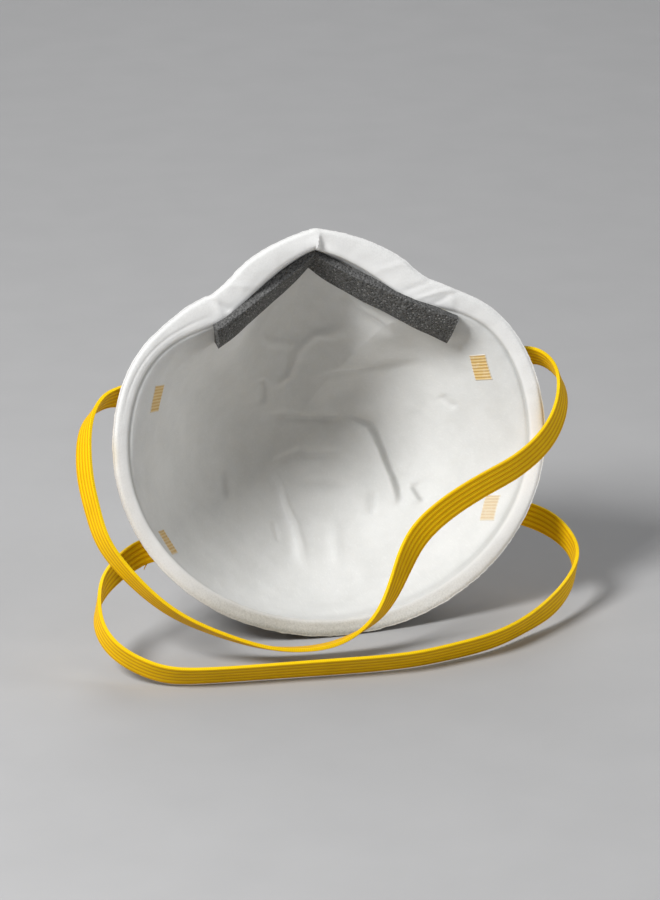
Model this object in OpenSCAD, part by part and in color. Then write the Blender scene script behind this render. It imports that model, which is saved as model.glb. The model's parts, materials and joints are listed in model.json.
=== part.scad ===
// Disposable cup-shaped dust mask with two elastic head straps, standing on its chin edge.
// Millimetres, +Z up. z = 0 is the surface it stands on, x = 0 its plane of symmetry,
// and the face opening looks towards -Y. The origin lies straight below the opening's centre.

/* [Cup] */
// Width of the cup across the rim
cup_w = 132.4; // [124:0.2:140]
// Height from the centre of the opening up to the nose peak
cup_top = 62.8; // [59:0.2:67]
// Height from the centre of the opening down to the chin edge
cup_bottom = 57.6; // [54:0.2:61]
// Depth of the hollow behind the rim
cup_depth = 50; // [42:1:54]
// How far the opening leans back from upright, in degrees
lean = 17; // [14:0.5:20]

/* [Rim] */
// Width of the sealed flange round the opening
flange_w = 4.8; // [4:0.1:6]
// How much wider the flange is over the sides of the nose
flange_widening = 4; // [3:0.1:4.6]
// How far the flange's outer edge curls towards the wearer
flange_lip = 1.2; // [0.4:0.1:1.6]
// Depth of the notch in the rim at each side of the nose panel
notch_d = 7.3; // [5:0.1:8.5]
// Angle from the nose peak to each notch
notch_a = 36.5; // [34:0.5:39]

/* [Layers] */
// Thickness of the soft inner cover web
inner_t = 0.4; // [0.3:0.05:0.6]
// Thickness of the stiff moulded shell
shell_t = 1; // [0.8:0.05:1.2]
// Thickness of the electret filter web
filter_t = 0.8; // [0.6:0.05:1]
// Thickness of the outer cover web
outer_t = 0.4; // [0.3:0.05:0.6]

/* [Nose] */
// Width of the nose foam
foam_w = 9.5; // [8:0.5:11]
// Thickness of the nose foam
foam_t = 2.8; // [2:0.1:3.6]
// How far the foam sits off centre, towards +X
foam_shift = 4.5; // [-4.5:0.5:4.5]
// Width of the aluminium nose clip
clip_w = 5; // [4:0.5:6]
// Thickness of the aluminium nose clip
clip_t = 0.9; // [0.6:0.1:1.2]

/* [Straps] */
// Width of the elastic band
strap_w = 7.2; // [6.4:0.2:7.6]
// Thickness of the elastic band over its cords
strap_t = 1.2; // [0.8:0.1:1.4]
// Number of raised cords along the band
cord_n = 5; // [4:1:6]
// Length of each weld along the band
weld_l = 5.6; // [5:0.1:6.4]
// Height of each weld across the band
weld_h = 8; // [7.6:0.1:8.4]

/* [Hidden] */
// Exponents of the depth profile: 0.5 is an ellipse, 1 a parabola, and more flares out at the rim
dome_power = 0.85;
nose_power = 0.8;
cheek_power = 1.6;
jaw_power = 0.74;
chin_power = 0.42;
notch_spread = 18.5;
// Where round the rim the flange is widest, and how far that spreads, in degrees from the nose peak
widest_a = 29;
widest_spread = 23;
layer_gap = 0.03;
flange_press = 0.5;
film_t = 0.1;
// Clearance under each stuck-on strip, and between it and its adhesive
strip_gap = 0.3;
strip_layer_gap = 0.2;
weld_gap = 0.05;
weld_recess = 0.2;
weld_x = 50;
upper_weld_z = 17;
lower_weld_z = -25.5;
lift = 55.13;

inner_from = 0;
shell_from = inner_from + inner_t + layer_gap;
filter_from = shell_from + shell_t + layer_gap;
outer_from = filter_from + filter_t + layer_gap;
outer_face = outer_from + outer_t;

// ---- The cup's inner face, in the rim's own frame: x right, y depth, z up ----
function unit(v) = v / norm(v);

// Degrees between a and the nose peak, 0 to 180
function from_peak(a) = abs(((a % 360) + 540) % 360 - 180);

function notch(n) = notch_d * (n < notch_a ? n / notch_a : exp(-pow((n - notch_a) / notch_spread, 2)));

// Radius of the rim at angle a from the nose peak
function rim_r(a) =
    let (h = cos(a) > 0 ? cup_top : cup_bottom)
    1 / sqrt(pow(2 * sin(a) / cup_w, 2) + pow(cos(a) / h, 2)) - notch(from_peak(a));

// Radius of the seam where the cup's wall meets the flange
function seam_r(a) =
    rim_r(a) - flange_w - flange_widening * exp(-pow((from_peak(a) - widest_a) / widest_spread, 2));

// Goes smoothly from 0 at angle from to 1 at angle to
function ease(a, from, to) = let (t = min(max((a - from) / (to - from), 0), 1)) t * t * (3 - 2 * t);

// Steep under the nose, flared at the cheekbones and full round the jaw and chin,
// all meeting in one even dome at the middle
function depth_power(a, s) =
    let (n = from_peak(a))
    let (rim_power = nose_power
        + (cheek_power - nose_power) * ease(n, 0, 54)
        - (cheek_power - jaw_power) * ease(n, 75, 118)
        - (jaw_power - chin_power) * ease(n, 110, 180))
    dome_power + (rim_power - dome_power) * s * s;

// s runs from 0 at the middle of the cup to 1 at the flange seam and 2 at the rim's edge
function face(a, s) =
    let (seam = seam_r(a), r = s <= 1 ? s * seam : seam + (s - 1) * (rim_r(a) - seam))
    let (y = s <= 1 ? cup_depth * pow(max(1 - s * s, 0), depth_power(a, s)) : -flange_lip * (s - 1))
    [r * sin(a), y, r * cos(a)];

// Direction away from the wearer, square to the face; mitred where the cup meets the flange
function wall_n(a, s) =
    let (d = 0.01, m = min(max(s, 0.03), 0.98))
    unit(cross(face(a, m + d) - face(a, m - d), face(a + 1, m) - face(a - 1, m)));
function face_n(a, s) =
    s > 1 ? [0, 1, 0] :
    s < 1 ? wall_n(a, s) :
    let (n = wall_n(a, 1)) (n + [0, 1, 0]) / (1 + n.y);

// Layers are pressed thin in the flange
function press(s) = s < 0.96 ? 1 : flange_press;

// The point t outside the inner face
function off_face(a, s, t) = face(a, s) + face_n(a, s) * t * press(s);

// The same by x and z across the opening, clear of the flange
function over(x, z, t) =
    let (a = atan2(x, z), s = norm([x, z]) / seam_r(a))
    face(a, s) + wall_n(a, s) * t;

// ---- Webs: closed sheets over one shared grid, so that nested layers never cross ----
grid_n = 60;
spokes = [for (i = [0:grid_n - 1]) i * 360 / grid_n];
rings = [0.16, 0.32, 0.48, 0.62, 0.74, 0.84, 0.91, 0.96, 1, 1.5, 2];

module stand() {
    translate([0, 0, lift]) rotate([-lean, 0, 0]) children();
}

module web(from, t) {
    k = len(rings);
    sheet = 1 + k * grid_n;
    pts = [for (d = [from, from + t])
        each concat([[0, cup_depth + d, 0]], [for (s = rings) for (a = spokes) off_face(a, s, d)])];
    // Corners of one sheet: the pole is point 0, then the rings outwards
    function at(j, i) = 1 + j * grid_n + i % grid_n;
    tris = concat(
        [for (i = [0:grid_n - 1]) [0, at(0, i), at(0, i + 1)]],
        [for (j = [0:k - 2]) for (i = [0:grid_n - 1])
            each [[at(j, i), at(j + 1, i), at(j + 1, i + 1)], [at(j, i), at(j + 1, i + 1), at(j, i + 1)]]]);
    edge = [for (i = [0:grid_n - 1])
        each [[at(k - 1, i), sheet + at(k - 1, i), sheet + at(k - 1, i + 1)],
              [at(k - 1, i), sheet + at(k - 1, i + 1), at(k - 1, i + 1)]]];
    back = [for (f = tris) [f[0] + sheet, f[2] + sheet, f[1] + sheet]];
    polyhedron(pts, concat(tris, back, edge));
}

// A web with its four weld windows
module welded_web(from, t) {
    stand() difference() {
        web(from, t);
        for (x = [-weld_x, weld_x], z = [upper_weld_z, lower_weld_z])
            weld_block(x, z, -2, outer_face + 2, weld_gap);
    }
}

module inner_cover_web() color("#e4e3df") welded_web(inner_from, inner_t);
module moulded_shell() color("#d8d8d4") welded_web(shell_from, shell_t);
module filter_web() color("#eceff0") welded_web(filter_from, filter_t);
module outer_cover_web() color("#f1f1ee") welded_web(outer_from, outer_t);

// ---- Welds: the webs and the band's end fused into one thin block ----
module weld_block(x, z, from, to, grow) {
    a = atan2(x, z);
    n = wall_n(a, norm([x, z]) / seam_r(a));
    u = unit(cross([0, 0, 1], n));
    v = cross(n, u);
    p = over(x, z, 0);
    multmatrix([
        [u.x, v.x, n.x, p.x],
        [u.y, v.y, n.y, p.y],
        [u.z, v.z, n.z, p.z],
        [0, 0, 0, 1]
    ])
    translate([-weld_l / 2 - grow, -weld_h / 2 - grow, from])
        cube([weld_l + 2 * grow, weld_h + 2 * grow, to - from]);
}
module weld(side, z)
    color("#d7b264") stand() weld_block(side * weld_x, z, weld_recess, outer_face + strap_t / 2, 0);
module upper_left_weld() weld(-1, upper_weld_z);
module upper_right_weld() weld(1, upper_weld_z);
module lower_left_weld() weld(-1, lower_weld_z);
module lower_right_weld() weld(1, lower_weld_z);

// ---- Strips laid over the nose: foam inside, clip outside ----
// Both follow two straight arms that meet at the nose
nose_peak_z = 54.6;
arm_fall = 23.4;
arm_run = 37;
// The clip stops a little short of the foam's ends
clip_reach = 0.95;
arm_stations = 12;
stations = [for (i = [-arm_stations:arm_stations]) i / arm_stations];

function arm(u, reach) = [arm_run * u * reach, nose_peak_z - arm_fall * abs(u) * reach];

// Direction across the strip at station u, mitred at the middle
function across(u, reach) =
    let (w = u == 0 ? 0.01 : u, p = arm(w, reach), q = arm(w * 0.99, reach))
    let (run = over(p.x, p.y, 0) - over(q.x, q.y, 0), m = w < 0 ? -run : run)
    let (a = atan2(p.x, p.y), n = wall_n(a, norm(p) / seam_r(a)))
    let (c = unit(cross(m, n)), mid = unit([0, c.y, c.z]))
    u == 0 ? mid / (mid * c) : c;

function strip_point(u, v, t, reach) =
    let (p = arm(u, reach), c = across(u, reach) * v)
    over(p.x + c.x, p.y + c.z, t);

module strip(w, from, to, reach, shift = 0) {
    lanes = [-0.5:0.25:0.5];
    lanes_back = [0.5:-0.25:-0.5];
    // A strip that sits off centre has one long arm and one short arm
    pts = [for (u = stations)
        let (r = reach + sign(u) * shift / arm_run)
        each concat([for (v = lanes) strip_point(u, v * w, from, r)],
                    [for (v = lanes_back) strip_point(u, v * w, to, r)])];
    loft(pts, 10);
}

// Skin over a row of closed outlines with m corners each
module loft(pts, m) {
    k = len(pts) / m;
    sides = [for (j = [0:k - 2]) for (i = [0:m - 1])
        each [[j * m + i, j * m + (i + 1) % m, (j + 1) * m + (i + 1) % m],
              [j * m + i, (j + 1) * m + (i + 1) % m, (j + 1) * m + i]]];
    // Each end is closed by rungs between the outline's two facing halves
    cap = [for (i = [0:m / 2 - 2]) each [[i, i + 1, m - 1 - i], [i + 1, m - 2 - i, m - 1 - i]]];
    first = [for (f = cap) [f[0], f[2], f[1]]];
    last = [for (f = cap) [for (i = f) (k - 1) * m + i]];
    polyhedron(pts, concat(sides, first, last));
}

module foam_adhesive() {
    base = -strip_gap;
    color("#b9b6a8") stand() strip(foam_w, base - film_t, base, 1, foam_shift);
}
module nose_foam() {
    base = -strip_gap - film_t - strip_layer_gap;
    color("#474747") stand() strip(foam_w, base - foam_t, base, 1, foam_shift);
}
module clip_adhesive() {
    base = outer_face + strip_gap;
    color("#c9c3ad") stand() strip(clip_w, base, base + film_t, clip_reach);
}
module nose_clip() {
    base = outer_face + strip_gap + film_t + strip_layer_gap;
    color("#b8babd") stand() strip(clip_w, base, base + clip_t, clip_reach);
}

// ---- Straps: a ribbed band swept through knots of position and edge direction ----
function knot(k, i) = k[min(max(i, 0), len(k) - 1)];
// Catmull-Rom spline through column c of the knots
function spline(k, u, c) =
    let (i = min(floor(u), len(k) - 2), f = u - i)
    let (p0 = knot(k, i - 1)[c], p1 = knot(k, i)[c], p2 = knot(k, i + 1)[c], p3 = knot(k, i + 2)[c])
    p1 + (p2 - p0) * f / 2 + (2 * p0 - 5 * p1 + 4 * p2 - p3) * f * f / 2
    + (3 * p1 - p0 - 3 * p2 + p3) * f * f * f / 2;

// Half the band's outline: cords stand proud of the valleys between them
valley = 0.55;
function rib(i) = (i % 2 == 0 ? valley : 1) * strap_t / 2;
band = concat(
    [for (i = [0:2 * cord_n]) [strap_w * (i / (2 * cord_n) - 0.5), rib(i)]],
    [for (i = [2 * cord_n:-1:0]) [strap_w * (i / (2 * cord_n) - 0.5), -rib(i)]]);

module strap(knots, steps) {
    pts = [for (j = [0:steps])
        let (u = j * (len(knots) - 1) / steps)
        let (run = spline(knots, u + 0.02, 0) - spline(knots, u - 0.02, 0), t = unit(run))
        let (e = spline(knots, u, 1), w = unit(e - t * (e * t)), n = cross(t, w))
        each [for (b = band) spline(knots, u, 0) + w * b.x + n * b.y]];
    loft(pts, len(band));
}

// Where a strap leaves its weld
function tilt(p) = [p.x, p.y * cos(lean) + p.z * sin(lean), lift - p.y * sin(lean) + p.z * cos(lean)];
function strap_end(side, z) = tilt(over(side * weld_x, z, outer_face + strap_t / 2)) + [side * 2.6, 0, 0];

up = [0, sin(lean), cos(lean)];
upper_knots = [
    [strap_end(-1, upper_weld_z), up],
    [[-62, 10.5, 71.6], [0.05, -0.4, 0.9]],
    [[-68.5, 8, 70.6], [0.1, -0.6, 0.8]],
    [[-73.3, 4, 66], [0.25, -0.8, 0.45]],
    [[-75.8, -4, 55.6], [0.4, -0.85, 0.35]],
    [[-75, -10, 45.4], [0.35, -0.82, 0.4]],
    [[-71.7, -17, 33.7], [0.25, -0.8, 0.54]],
    [[-56, -25, 17], [0.15, -0.88, 0.45]],
    [[-34, -31, 6.7], [0, -0.93, 0.37]],
    [[-20, -33, 4], [0, -0.95, 0.3]],
    [[-7.5, -34.5, 5.4], [-0.1, -0.95, 0.3]],
    [[3, -35, 11.5], [-0.5, -0.8, 0.4]],
    [[9, -33, 19], [-0.7, -0.6, 0.5]],
    [[16.5, -29.3, 32.6], [-0.82, -0.2, 0.53]],
    [[26.5, -25.6, 39.4], [-0.58, -0.05, 0.8]],
    [[39.3, -21, 44], [-0.3, 0.05, 0.95]],
    [[53.7, -15, 47.5], [-0.35, -0.1, 0.93]],
    [[65.5, -8, 53.3], [-0.6, -0.3, 0.73]],
    [[71.9, -1, 61.4], [-0.65, -0.6, 0.45]],
    [[72.3, 5, 68.2], [-0.35, -0.6, 0.7]],
    [[67.9, 9, 72.2], [-0.12, -0.58, 0.8]],
    [[61.5, 11.6, 71.6], [0, -0.25, 0.95]],
    [strap_end(1, upper_weld_z), up]
];
lower_knots = [
    [strap_end(-1, lower_weld_z), up],
    [[-59.5, 1, 25], [-0.2, 0.2, 0.92]],
    [[-64.7, -2.5, 23.7], [-0.3, 0, 0.95]],
    [[-71.5, -9, 21.2], [-0.25, -0.3, 0.92]],
    [[-75.8, -17, 17.7], [0.1, -0.45, 0.88]],
    [[-76.9, -25, 13.5], [0.1, -0.5, 0.86]],
    [[-73.6, -33, 9.1], [0, -0.5, 0.87]],
    [[-64.5, -39.5, 5], [-0.05, -0.5, 0.87]],
    [[-54.9, -43, 4], [0, -0.56, 0.83]],
    [[-23.3, -47, 4], [0, -0.56, 0.83]],
    [[6, -49.5, 4], [0, -0.56, 0.83]],
    [[24, -46.5, 4], [0, -0.5, 0.87]],
    [[37, -43, 4.5], [0, -0.5, 0.87]],
    [[48.6, -36, 5], [0, -0.45, 0.88]],
    [[60.4, -28, 7], [-0.2, -0.3, 0.93]],
    [[69.3, -19, 10.5], [-0.2, -0.5, 0.85]],
    [[73.7, -11, 14.6], [0, -0.6, 0.8]],
    [[72.7, -4, 18.1], [0.1, -0.5, 0.86]],
    [[68.6, 0.5, 21.5], [0.2, -0.1, 0.96]],
    [[61, 2.6, 24.8], [0.1, 0.1, 0.98]],
    [strap_end(1, lower_weld_z), up]
];
module upper_strap() color("#f2c21c") strap(upper_knots, 88);
module lower_strap() color("#f2c21c") strap(lower_knots, 80);

inner_cover_web();
moulded_shell();
filter_web();
outer_cover_web();
nose_foam();
foam_adhesive();
nose_clip();
clip_adhesive();
upper_left_weld();
upper_right_weld();
lower_left_weld();
lower_right_weld();
upper_strap();
lower_strap();
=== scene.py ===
"""The looks of a cup-shaped disposable dust mask. Lengths are in mm until a mesh is made."""

import json
import math

import bpy
import numpy as np
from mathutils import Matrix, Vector


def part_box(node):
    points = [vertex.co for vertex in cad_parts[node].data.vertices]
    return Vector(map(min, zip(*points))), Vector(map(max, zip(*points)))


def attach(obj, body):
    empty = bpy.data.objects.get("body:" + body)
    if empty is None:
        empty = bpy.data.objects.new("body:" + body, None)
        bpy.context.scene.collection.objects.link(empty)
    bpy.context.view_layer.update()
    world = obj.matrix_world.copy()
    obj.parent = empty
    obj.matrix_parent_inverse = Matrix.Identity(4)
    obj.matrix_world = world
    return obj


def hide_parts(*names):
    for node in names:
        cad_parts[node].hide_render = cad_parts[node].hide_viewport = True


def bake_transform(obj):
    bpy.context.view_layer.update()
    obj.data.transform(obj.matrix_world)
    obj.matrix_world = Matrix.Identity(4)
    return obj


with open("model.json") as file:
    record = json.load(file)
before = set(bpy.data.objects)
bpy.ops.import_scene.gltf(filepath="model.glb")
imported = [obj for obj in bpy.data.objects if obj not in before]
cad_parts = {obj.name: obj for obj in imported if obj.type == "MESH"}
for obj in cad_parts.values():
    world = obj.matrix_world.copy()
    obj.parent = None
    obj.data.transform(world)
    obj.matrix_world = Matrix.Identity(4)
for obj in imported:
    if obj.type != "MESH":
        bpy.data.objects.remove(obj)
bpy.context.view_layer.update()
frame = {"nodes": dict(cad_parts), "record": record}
MM = 0.001

# ---------------------------------------------------------------- sizes shared with the CAD model
record = frame["record"]
seal = next(m for m in record["mounts"] if m["name"] == "face_seal")
LIFT = seal["pos_m"][2] / MM
LEAN = math.atan2(seal["axis"][2], -seal["axis"][1])

web_lo, web_hi = (np.array(corner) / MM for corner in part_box("inner_cover_web"))
CUP_W = web_hi[0] - web_lo[0]
CUP_TOP, CUP_BOTTOM, CUP_DEPTH = 62.8, 57.6, 50.0
FLANGE_W, FLANGE_LIP = 4.8, 1.2
FLANGE_WIDENING, WIDEST_A, WIDEST_SPREAD = 4.0, 29.0, 23.0
NOTCH_D, NOTCH_A, NOTCH_SPREAD = 7.3, 36.5, 18.5
DOME_POWER, NOSE_POWER, CHEEK_POWER, JAW_POWER, CHIN_POWER = 0.85, 0.8, 1.6, 0.74, 0.42
# how far behind the wearer's side each web starts and ends
LAYERS = {"inner_cover_web": (0.0, 0.4), "moulded_shell": (0.43, 1.43),
          "filter_web": (1.46, 2.26), "outer_cover_web": (2.29, 2.69)}
OUTER = LAYERS["outer_cover_web"][1]
WELD_X, WELD_Z = 50.0, {"upper": 17.0, "lower": -25.5}
WELD_L, WELD_H = 5.6, 8.0
BAND_W, BAND_T, CORDS = 7.2, 1.2, 5
# the foam and the clip run from the nose peak down along two arms, over the opening
ARM_Z, ARM_FALL, ARM_RUN = 54.6, 23.4, 37.0


# ---------------------------------------------------------------- the cup's surface in the rim's frame
def from_peak(a):
    """Degrees round the rim from the nose peak, positive towards +X."""
    return np.degrees((a + np.pi) % (2 * np.pi) - np.pi)


def ease(x, lo, hi):
    """0 up to lo, 1 from hi on, and smooth between them."""
    t = np.clip((x - lo) / (hi - lo), 0, 1)
    return t * t * (3 - 2 * t)


def bell(x, width):
    """1 at x = 0, falling off smoothly on both sides."""
    return np.exp(-(x / width) ** 2)


def unit(v):
    """The same directions, with a length of 1."""
    return v / np.linalg.norm(v, axis=-1, keepdims=True)


def rim_r(a):
    """Radius of the rim: an oval, taller above than below, drawn in beside the nose."""
    h = np.where(np.cos(a) > 0, CUP_TOP, CUP_BOTTOM)
    n = np.abs(from_peak(a))
    notch = np.where(n < NOTCH_A, n / NOTCH_A, bell(n - NOTCH_A, NOTCH_SPREAD))
    return 1 / np.sqrt((2 * np.sin(a) / CUP_W) ** 2 + (np.cos(a) / h) ** 2) - NOTCH_D * notch


def seam_r(a):
    """Radius of the seam where the wall meets the flange, which is widest over the sides of the nose."""
    return rim_r(a) - FLANGE_W - FLANGE_WIDENING * bell(np.abs(from_peak(a)) - WIDEST_A, WIDEST_SPREAD)


def depth_power(a, s):
    """The CAD cup's own profile: flared at the cheekbones, full round the chin, one dome in the middle."""
    n = np.abs(from_peak(a))
    rim = (NOSE_POWER + (CHEEK_POWER - NOSE_POWER) * ease(n, 0, 54)
           - (CHEEK_POWER - JAW_POWER) * ease(n, 75, 118) - (JAW_POWER - CHIN_POWER) * ease(n, 110, 180))
    return DOME_POWER + (rim - DOME_POWER) * np.minimum(s, 1) ** 2


def face(a, s):
    """The wearer's side: s is 0 in the middle of the cup, 1 at the seam and 2 at the flange's edge."""
    seam = seam_r(a)
    r = np.where(s <= 1, s * seam, seam + (s - 1) * (rim_r(a) - seam))
    wall = CUP_DEPTH * np.maximum(1 - np.minimum(s, 1) ** 2, 0) ** depth_power(a, s)
    y = np.where(s <= 1, wall, -FLANGE_LIP * (s - 1))
    return np.stack([r * np.sin(a), y, r * np.cos(a)], -1)


def wall_n(a, s):
    """Away from the wearer, square to the wall."""
    ds, da = 0.01, 0.0175
    m = np.clip(s, 0.03, 0.98)
    return unit(np.cross(face(a, m + ds) - face(a, m - ds), face(a + da, m) - face(a - da, m)))


def face_n(a, s):
    """Away from the wearer, square to the face, turning to +Y in the flange."""
    k = np.clip((s - 0.97) / 0.06, 0, 1)[..., None]
    return unit(wall_n(a, s) * (1 - k) + np.array([0.0, 1.0, 0.0]) * k)


def polar(x, z):
    """The face's own coordinates of the place at x, z over the opening."""
    return np.arctan2(x, z), np.hypot(x, z) / seam_r(np.arctan2(x, z))


def over(x, z, t):
    """The point t behind the wearer's side at x, z over the opening."""
    a, s = polar(np.asarray(x, float), np.asarray(z, float))
    return face(a, s) + wall_n(a, s) * np.asarray(t, float)[..., None]


def from_seam(a, s):
    """Distance outwards from the seam; negative on the wall."""
    seam = seam_r(a)
    return (s - 1) * np.where(s < 1, seam, rim_r(a) - seam)


def to_row(p):
    """From the rim's frame in mm to the row frame in metres."""
    c, s = math.cos(LEAN), math.sin(LEAN)
    x, y, z = p[..., 0], p[..., 1], p[..., 2]
    return np.stack([x, y * c + z * s, LIFT - y * s + z * c], -1) * MM


# ---------------------------------------------------------------- soft unevenness
LATTICE_N = 64
lattices = {}


def noise3(p, scale, seed):
    """Smooth value noise of points p with features of the given size, from -1 to 1."""
    if seed not in lattices:
        lattices[seed] = np.random.default_rng(seed).uniform(-1, 1, (LATTICE_N,) * 3)
    i = np.floor(p / scale).astype(int)
    f = p / scale - i
    f = f * f * (3 - 2 * f)
    out = 0
    for corner in np.ndindex(2, 2, 2):
        w = np.prod(np.where(corner, f, 1 - f), axis=-1)
        x, y, z = np.moveaxis((i + corner) % LATTICE_N, -1, 0)
        out = out + w * lattices[seed][x, y, z]
    return out


def along_line(x, z, pts):
    """Distance from (x, z) to a line of points, how far along it lies (0 to 1), and on which side."""
    pts = np.asarray(pts, float)
    runs = np.diff(pts, axis=0)
    lengths = np.hypot(runs[:, 0], runs[:, 1])
    starts = np.cumsum(lengths) - lengths
    distance = np.full(np.shape(x), np.inf)
    u = np.zeros(np.shape(x))
    side = np.zeros(np.shape(x))
    for (px, pz), (dx, dz), length, start in zip(pts[:-1], runs, lengths, starts):
        k = np.clip(((x - px) * dx + (z - pz) * dz) / length ** 2, 0, 1)
        ex, ez = x - px - k * dx, z - pz - k * dz
        d = np.hypot(ex, ez)
        near = d < distance
        distance = np.where(near, d, distance)
        u = np.where(near, (start + k * length) / lengths.sum(), u)
        side = np.where(near, np.sign(dx * ez - dz * ex), side)
    return distance, u, side


# Creases in the liner: line over the opening (x, z), height towards the wearer, half-width, step across it
CREASES = [
    ([(18, 4.5), (24, 1), (27.5, -6.5), (29.5, -15), (28, -24.5)], -0.5, 0.9, -1.6),
    ([(33, -17), (35, -23)], -0.3, 0.9, -0.9),
    ([(-7.5, -9.5), (-4.5, -18), (-3, -27), (-4, -39.5)], 0.8, 1.4, 0.5),
    ([(-9, -24), (-9, -31)], -0.35, 1.0, 0.0),
    ([(18, 31.5), (7, 30), (3, 25.5), (0.5, 18.5), (-5, 13.5)], 1.0, 1.5, 0.0),
    ([(-11.5, 32), (4, 26.5)], 0.7, 1.4, 0.0),
    ([(10, 44), (18, 34.5), (26.5, 28.5)], -0.6, 1.3, 0.4),
    ([(8, 17), (23, 18), (37, 18.5)], -0.6, 1.5, 0.3),
    ([(-7.5, 6), (18, 4.5)], -0.8, 1.7, 0.45),
    ([(-6.5, -8.5), (3.5, -5.5), (19, -7)], -0.6, 1.5, 0.3),
    ([(1, -15.5), (17.5, -17)], -0.5, 1.5, 0.1),
    ([(-8, 18), (-8, 9)], -0.8, 1.2, 0.4),
    ([(23, -18), (21, -27)], -0.7, 1.2, 0.2),
    ([(9.5, -25), (6.5, -42.5)], 0.4, 2.2, 0.0),
    ([(41.5, 9), (46, 4.5)], -0.4, 1.0, 0.0),
    ([(-23, -8), (-23, -18)], -0.25, 1.4, 0.2),
]


def wander(x, z):
    """Points shifted a little at random, so that no crease runs straight."""
    p = np.stack([x, np.zeros(np.shape(x)), z], -1)
    reach, size = 0.9, 7
    return x + reach * noise3(p, size, 21), z + reach * noise3(p, size, 22)


def creases(x, z):
    """Height of the creases towards the wearer."""
    x, z = wander(x, z)
    out = np.zeros(np.shape(x))
    for pts, height, width, step in CREASES:
        d, u, side = along_line(x, z, pts)
        ledge = step * side * bell(d, 3 * width) * (1 - bell(d, 0.5 * width))
        out += ease(np.minimum(u, 1 - u), 0, 0.22) * (height * bell(d, width) + ledge)
    return out


def crease_shade(x, z):
    """Where shade is painted in the hollow creases: 0 on the open wall, towards 1 at the bottom of the
    sharpest folds.
    """
    x, z = wander(x, z)
    out = np.zeros(np.shape(x))
    for pts, height, width, step in CREASES:
        if height <= 0:
            d, u, _ = along_line(x, z, pts)
            depth = 0.75 if abs(step) > 0.8 else 0.3 * abs(height)
            out += depth * ease(np.minimum(u, 1 - u), 0.0, 0.3) * bell(d, 0.7 * width)
    return np.clip(out, 0, 1)


def unevenness(a, s):
    """How far the moulded face stands towards the wearer of its ideal shape."""
    p = face(a, s)
    inside = ease(0.97 - s, 0, 0.12)
    swell = 0.45 * noise3(p, 17, 1) + 0.22 * noise3(p, 7, 2)
    return inside * (swell + creases(p[..., 0], p[..., 2])) + 0.08 * noise3(p, 2.6, 3)


# ---------------------------------------------------------------- mesh making
def make_object(name, verts, faces, smooth=True, crease=0):
    """An object from points in metres; edges sharper than crease degrees are shaded as edges."""
    mesh = bpy.data.meshes.new(name)
    mesh.from_pydata([tuple(v) for v in verts], [], faces)
    mesh.update()
    mesh.polygons.foreach_set("use_smooth", [smooth] * len(mesh.polygons))
    if crease:
        mesh.set_sharp_from_angle(angle=math.radians(crease))
    obj = bpy.data.objects.new(name, mesh)
    bpy.context.scene.collection.objects.link(obj)
    return obj


def grid_faces(rows, cols, closed, offset=0, flip=False):
    """Four-sided faces of a grid of points, row by row; a closed grid joins its last column to its first."""
    out = []
    for j in range(rows - 1):
        for i in range(cols if closed else cols - 1):
            k = (i + 1) % cols
            q = (j * cols + i, (j + 1) * cols + i, (j + 1) * cols + k, j * cols + k)
            out.append(tuple(offset + corner for corner in (q[::-1] if flip else q)))
    return out


def end_faces(row, m, lanes, flip):
    """Faces that close one end of a flat tube of m points a row, with lanes points on each side."""
    first, last = row * m, row * m + m - 1
    quads = [(first + i, first + i + 1, last - 1 - i, last - i) for i in range(lanes - 1)]
    return [q[::-1] if flip else q for q in quads]


def add_values(obj, name, values):
    """One number for each vertex, for a material to read."""
    layer = obj.data.attributes.new(name, "FLOAT", "POINT")
    layer.data.foreach_set("value", values.astype(np.float32))


def add_uv(obj, uv_of_vertex):
    """The band's own coordinates in mm: u along it and v across it."""
    layer = obj.data.uv_layers.new(name="band")
    idx = np.zeros(len(obj.data.loops), int)
    obj.data.loops.foreach_get("vertex_index", idx)
    layer.data.foreach_set("uv", uv_of_vertex[idx].astype(np.float32).ravel())


def soften(points, passes):
    """Even out a row of points, keeping both ends."""
    points = points.copy()
    for _ in range(passes):
        points[1:-1] = points[:-2] * 0.25 + points[1:-1] * 0.5 + points[2:] * 0.25
    return points


# ---------------------------------------------------------------- materials
class Graph:
    """A node tree, with short ways to add to it."""

    def __init__(self, tree):
        self.nodes, self.links = tree.nodes, tree.links

    def add(self, kind, **values):
        n = self.nodes.new(kind)
        for key, value in values.items():
            if key in n.inputs:
                n.inputs[key].default_value = value
            else:
                setattr(n, key, value)
        return n

    def plug(self, value, socket):
        """Set a number or a colour, or link another node's output."""
        if isinstance(value, (int, float)):
            socket.default_value = value
        elif isinstance(value, tuple):
            socket.default_value = (*value, 1)
        else:
            self.links.new(value, socket)

    def math(self, operation, a, b=0.0):
        n = self.add("ShaderNodeMath", operation=operation)
        self.plug(a, n.inputs[0])
        self.plug(b, n.inputs[1])
        return n.outputs["Value"]

    def times(self, a, b):
        return self.math("MULTIPLY", a, b)

    def plus(self, a, b):
        return self.math("ADD", a, b)


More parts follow.
